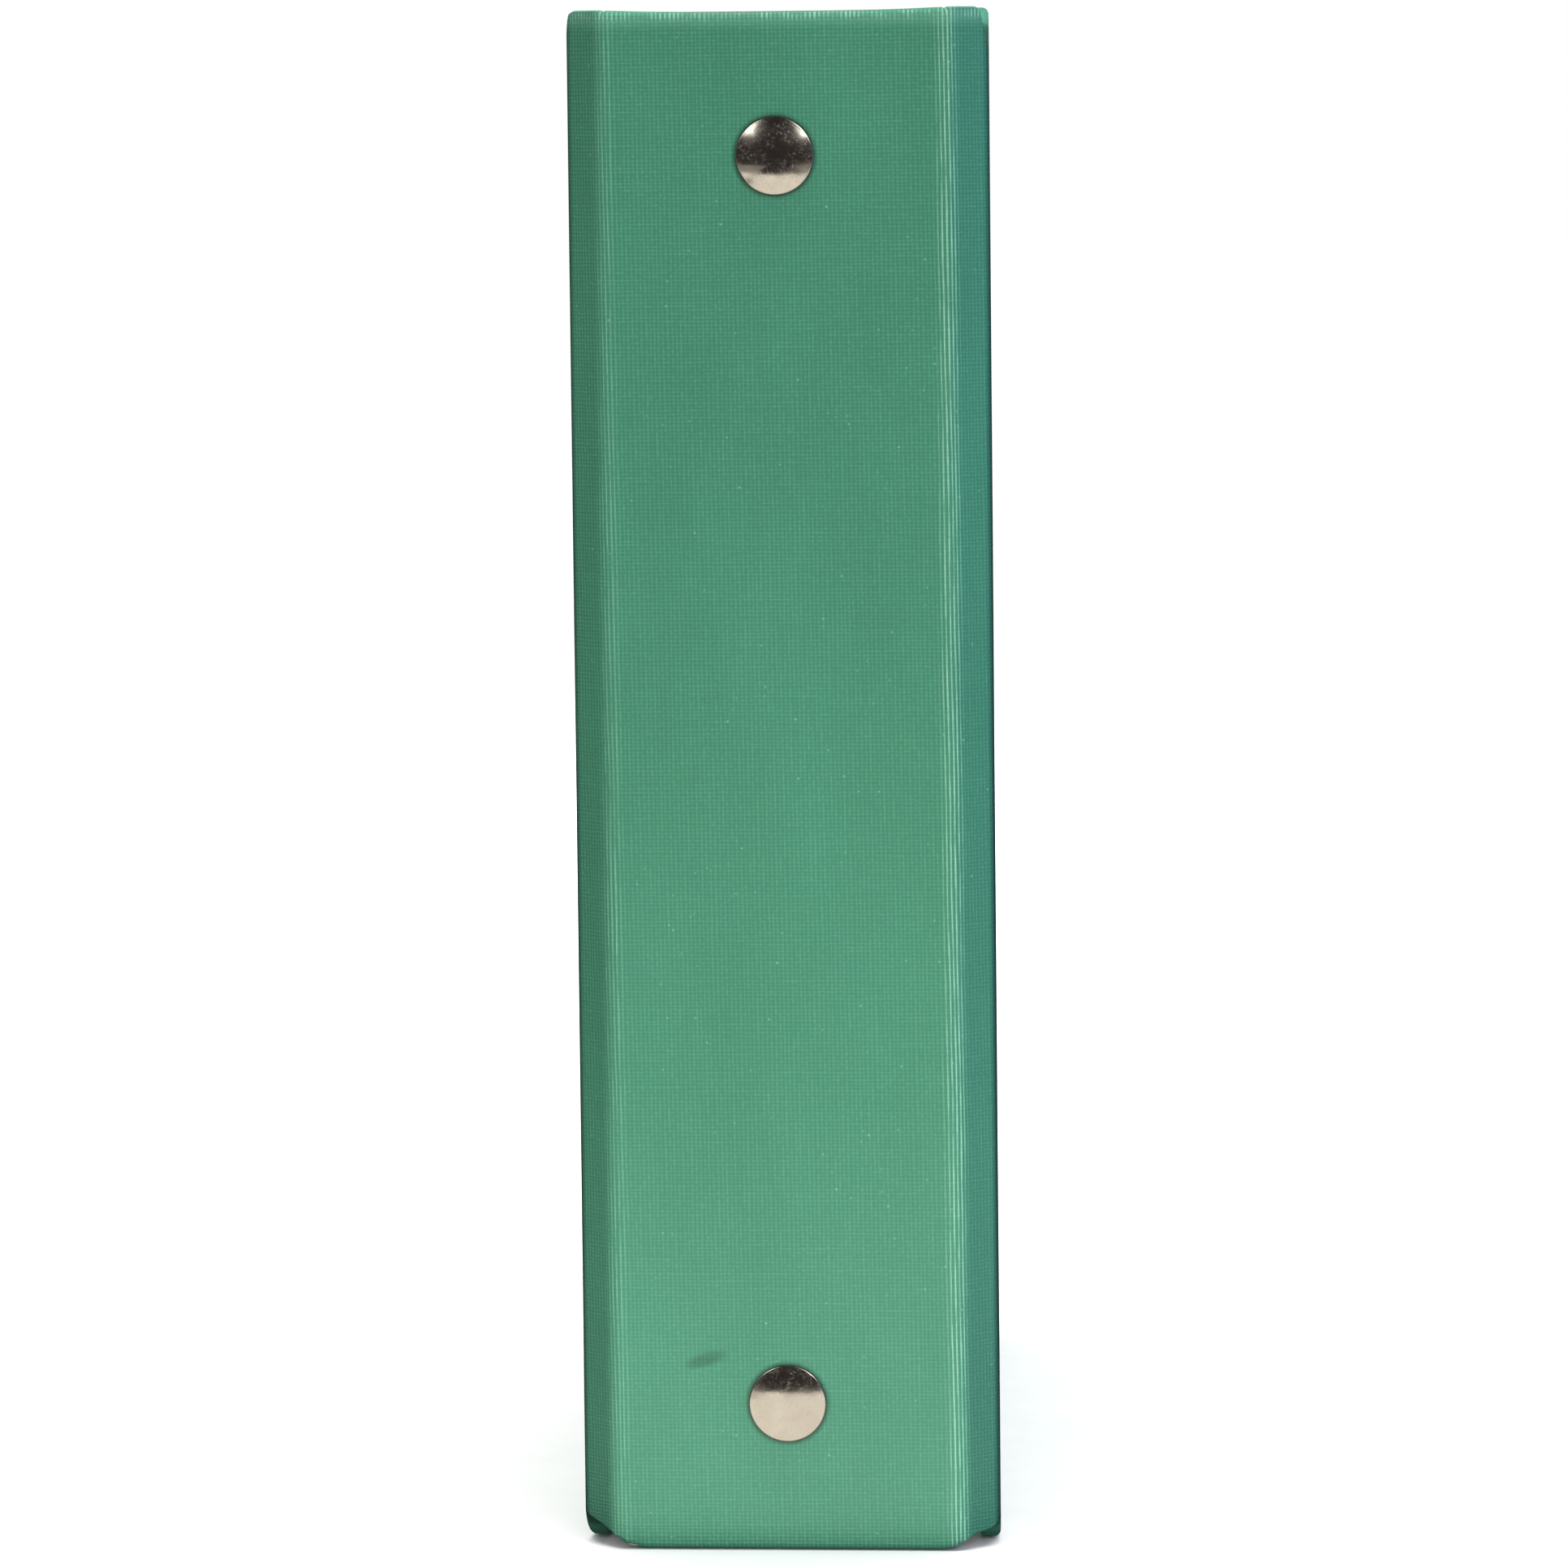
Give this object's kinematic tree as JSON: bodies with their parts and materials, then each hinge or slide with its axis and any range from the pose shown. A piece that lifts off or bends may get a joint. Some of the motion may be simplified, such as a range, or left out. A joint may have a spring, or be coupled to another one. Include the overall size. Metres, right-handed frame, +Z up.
{
  "type": "stamp album",
  "caption": "Upright ring-binder stamp album: flat spine with two domed rivets, slanting cloth hinges, two boards, ring mechanism and black stock leaves.",
  "frame": {"origin": "centre of the closed album's footprint, on the surface it stands on", "axes": "+Z up along the spine, -Y out of the spine's face, +X toward the front cover"},
  "size_m": [0.0682, 0.2249, 0.25],
  "materials": {
    "cover_film": "linen-embossed green covering film, satin",
    "greyboard": "raw greyboard",
    "lining_paper": "dark green lining paper, matt",
    "nickel_steel": "bright nickel plate on steel",
    "black_card": "black stock card, matt",
    "clear_strip": "clear film strip"
  },
  "bodies": {
    "spine": {"spine_film": "cover_film", "spine_board": "greyboard", "spine_lining": "lining_paper", "ring_base_plate": "nickel_steel", "lever_pins": "nickel_steel", "rivet_cap_bottom": "nickel_steel", "rivet_cap_top": "nickel_steel", "rivet_post_bottom": "nickel_steel", "rivet_post_top": "nickel_steel"},
    "front_hinge": {"front_hinge_film": "cover_film", "front_hinge_lining": "lining_paper"},
    "back_hinge": {"back_hinge_film": "cover_film", "back_hinge_lining": "lining_paper"},
    "front_cover": {"front_cover_film": "cover_film", "front_cover_board": "greyboard", "front_cover_lining": "lining_paper"},
    "back_cover": {"back_cover_film": "cover_film", "back_cover_board": "greyboard", "back_cover_lining": "lining_paper"},
    "front_ring_side": {"front_ring_blade": "nickel_steel", "front_ring_halves": "nickel_steel"},
    "back_ring_side": {"back_ring_blade": "nickel_steel", "back_ring_halves": "nickel_steel"},
    "top_lever": {"lever_top": "nickel_steel"},
    "bottom_lever": {"lever_bottom": "nickel_steel"},
    "front_leaf_1": {"leaf_front_1": "black_card", "leaf_front_1_strips": "clear_strip"},
    "front_leaf_2": {"leaf_front_2": "black_card", "leaf_front_2_strips": "clear_strip"},
    "front_leaf_3": {"leaf_front_3": "black_card", "leaf_front_3_strips": "clear_strip"},
    "front_leaf_4": {"leaf_front_4": "black_card", "leaf_front_4_strips": "clear_strip"},
    "front_leaf_5": {"leaf_front_5": "black_card", "leaf_front_5_strips": "clear_strip"},
    "back_leaf_1": {"leaf_back_1": "black_card", "leaf_back_1_strips": "clear_strip"},
    "back_leaf_2": {"leaf_back_2": "black_card", "leaf_back_2_strips": "clear_strip"},
    "back_leaf_3": {"leaf_back_3": "black_card", "leaf_back_3_strips": "clear_strip"},
    "back_leaf_4": {"leaf_back_4": "black_card", "leaf_back_4_strips": "clear_strip"},
    "back_leaf_5": {"leaf_back_5": "black_card", "leaf_back_5_strips": "clear_strip"}
  },
  "joints": [
    {"name": "front_fold", "type": "hinge", "parent": "spine", "child": "front_hinge", "pos_m": [0.02763, -0.11008, 0], "axis": [0, 0, -1], "range_deg": [0, 44]},
    {"name": "front_crease", "type": "hinge", "parent": "front_hinge", "child": "front_cover", "pos_m": [0.03314, -0.10453, 0], "axis": [0, 0, -1], "range_deg": [0, 50]},
    {"name": "back_fold", "type": "hinge", "parent": "spine", "child": "back_hinge", "pos_m": [-0.02763, -0.11008, 0], "axis": [0, 0, 1], "range_deg": [0, 44]},
    {"name": "back_crease", "type": "hinge", "parent": "back_hinge", "child": "back_cover", "pos_m": [-0.03314, -0.10453, 0], "axis": [0, 0, 1], "range_deg": [0, 50]},
    {"name": "ring_open", "type": "hinge", "parent": "spine", "child": "front_ring_side", "pos_m": [0.0104, -0.10556, 0], "axis": [0, 0, -1], "range_deg": [0, 8]},
    {"name": "back_ring_open", "type": "hinge", "parent": "spine", "child": "back_ring_side", "pos_m": [-0.0104, -0.10556, 0], "axis": [0, 0, 1], "range_deg": [0, 8]},
    {"name": "top_lever_turn", "type": "hinge", "parent": "spine", "child": "top_lever", "pos_m": [0, -0.10431, 0.2365], "axis": [1, 0, 0], "range_deg": [0, 20]},
    {"name": "bottom_lever_turn", "type": "hinge", "parent": "spine", "child": "bottom_lever", "pos_m": [0, -0.10431, 0.0135], "axis": [-1, 0, 0], "range_deg": [0, 20]},
    {"name": "front_leaf_1_hang", "type": "hinge", "parent": "front_ring_side", "child": "front_leaf_1", "pos_m": [0, -0.08611, 0], "axis": [0, 0, -1], "range_deg": [-8, 0]},
    {"name": "front_leaf_2_swing", "type": "hinge", "parent": "front_leaf_1", "child": "front_leaf_2", "pos_m": [0, -0.08611, 0], "axis": [0, 0, -1], "range_deg": [0, 24]},
    {"name": "front_leaf_3_swing", "type": "hinge", "parent": "front_leaf_1", "child": "front_leaf_3", "pos_m": [0, -0.08611, 0], "axis": [0, 0, -1], "range_deg": [0, 46]},
    {"name": "front_leaf_4_swing", "type": "hinge", "parent": "front_leaf_1", "child": "front_leaf_4", "pos_m": [0, -0.08611, 0], "axis": [0, 0, -1], "range_deg": [0, 66]},
    {"name": "front_leaf_5_swing", "type": "hinge", "parent": "front_leaf_1", "child": "front_leaf_5", "pos_m": [0, -0.08611, 0], "axis": [0, 0, -1], "range_deg": [0, 86]},
    {"name": "back_leaf_1_hang", "type": "hinge", "parent": "back_ring_side", "child": "back_leaf_1", "pos_m": [0, -0.08611, 0], "axis": [0, 0, 1], "range_deg": [-8, 0]},
    {"name": "back_leaf_2_swing", "type": "hinge", "parent": "back_leaf_1", "child": "back_leaf_2", "pos_m": [0, -0.08611, 0], "axis": [0, 0, 1], "range_deg": [0, 24]},
    {"name": "back_leaf_3_swing", "type": "hinge", "parent": "back_leaf_1", "child": "back_leaf_3", "pos_m": [0, -0.08611, 0], "axis": [0, 0, 1], "range_deg": [0, 46]},
    {"name": "back_leaf_4_swing", "type": "hinge", "parent": "back_leaf_1", "child": "back_leaf_4", "pos_m": [0, -0.08611, 0], "axis": [0, 0, 1], "range_deg": [0, 66]},
    {"name": "back_leaf_5_swing", "type": "hinge", "parent": "back_leaf_1", "child": "back_leaf_5", "pos_m": [0, -0.08611, 0], "axis": [0, 0, 1], "range_deg": [0, 86]}
  ],
  "couplings": [
    {"joint": "front_crease", "follows": "front_fold", "ratio": 1.1363},
    {"joint": "back_crease", "follows": "back_fold", "ratio": 1.1363},
    {"joint": "back_ring_open", "follows": "ring_open", "ratio": 1},
    {"joint": "top_lever_turn", "follows": "ring_open", "ratio": 2.5},
    {"joint": "bottom_lever_turn", "follows": "ring_open", "ratio": 2.5},
    {"joint": "front_leaf_1_hang", "follows": "ring_open", "ratio": -1},
    {"joint": "front_leaf_2_swing", "follows": "front_fold", "ratio": 0.5454},
    {"joint": "front_leaf_3_swing", "follows": "front_fold", "ratio": 1.0454},
    {"joint": "front_leaf_4_swing", "follows": "front_fold", "ratio": 1.4999},
    {"joint": "front_leaf_5_swing", "follows": "front_fold", "ratio": 1.9544},
    {"joint": "back_leaf_1_hang", "follows": "ring_open", "ratio": -1},
    {"joint": "back_leaf_2_swing", "follows": "back_fold", "ratio": 0.5454},
    {"joint": "back_leaf_3_swing", "follows": "back_fold", "ratio": 1.0454},
    {"joint": "back_leaf_4_swing", "follows": "back_fold", "ratio": 1.4999},
    {"joint": "back_leaf_5_swing", "follows": "back_fold", "ratio": 1.9544}
  ]
}
